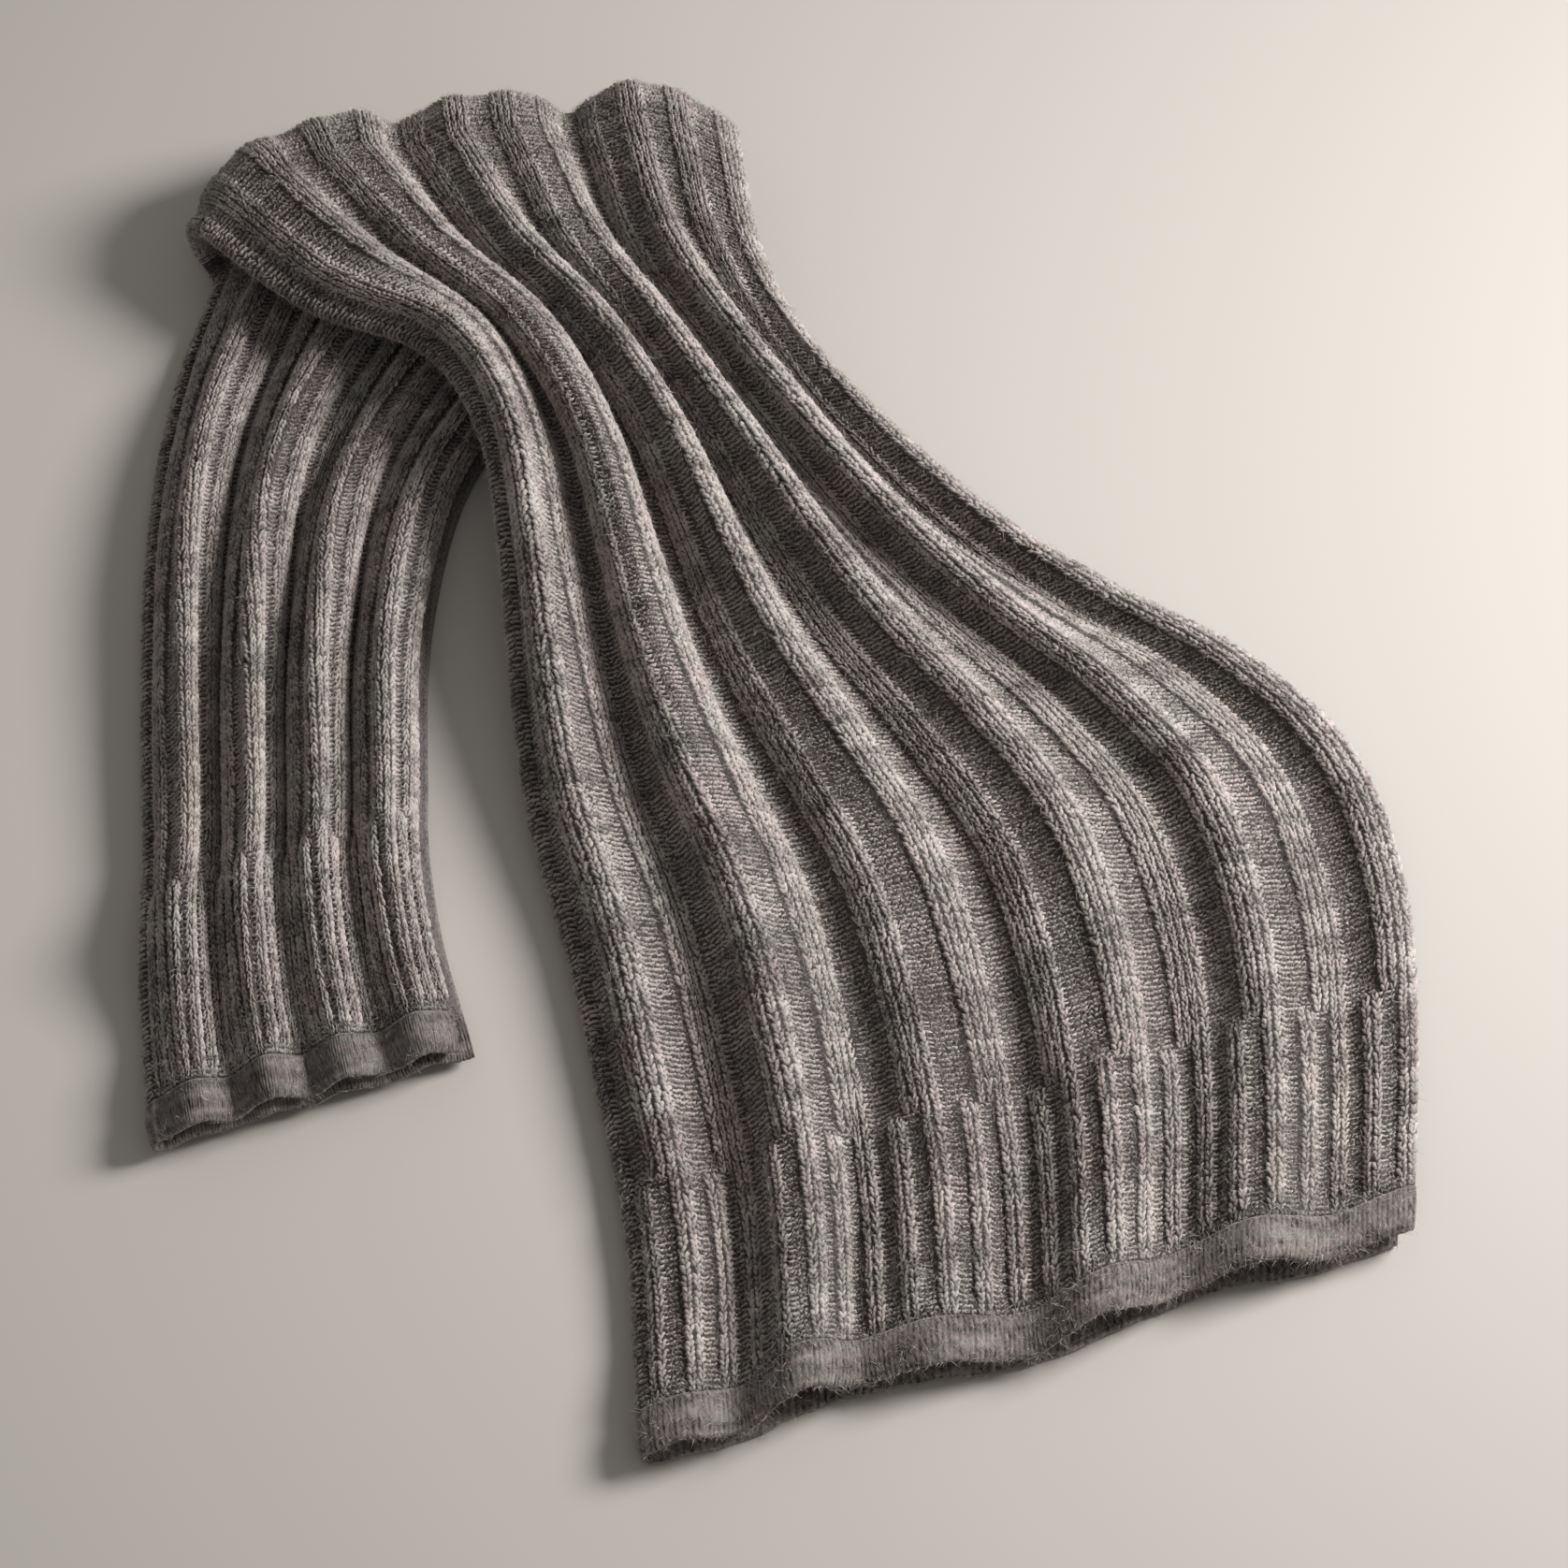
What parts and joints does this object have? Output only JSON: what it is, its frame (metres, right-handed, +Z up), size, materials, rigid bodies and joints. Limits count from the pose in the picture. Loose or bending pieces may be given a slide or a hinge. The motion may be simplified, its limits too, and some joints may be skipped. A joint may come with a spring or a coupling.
{
  "type": "chunky knit blanket",
  "caption": "Grey melange throw of wide ribs, folded in half along its length and turned over on itself, with a puffy band linked along each end; lies flat on a surface.",
  "frame": {"origin": "centre of the throw's footprint, on the surface it lies on", "axes": "+X to the right of the front end, +Y from the front end towards the crosswise fold, +Z up"},
  "size_m": [0.879, 1.0715, 0.0936],
  "materials": {
    "panel_yarn": "brushed grey-taupe melange yarn, rib knit, matt with a soft halo",
    "band_yarn": "the same yarn in a fine plain knit, double layer, matt"
  },
  "bodies": {
    "root": {"knit_panel": "panel_yarn", "front_band": "band_yarn", "back_band": "band_yarn"}
  },
  "joints": []
}
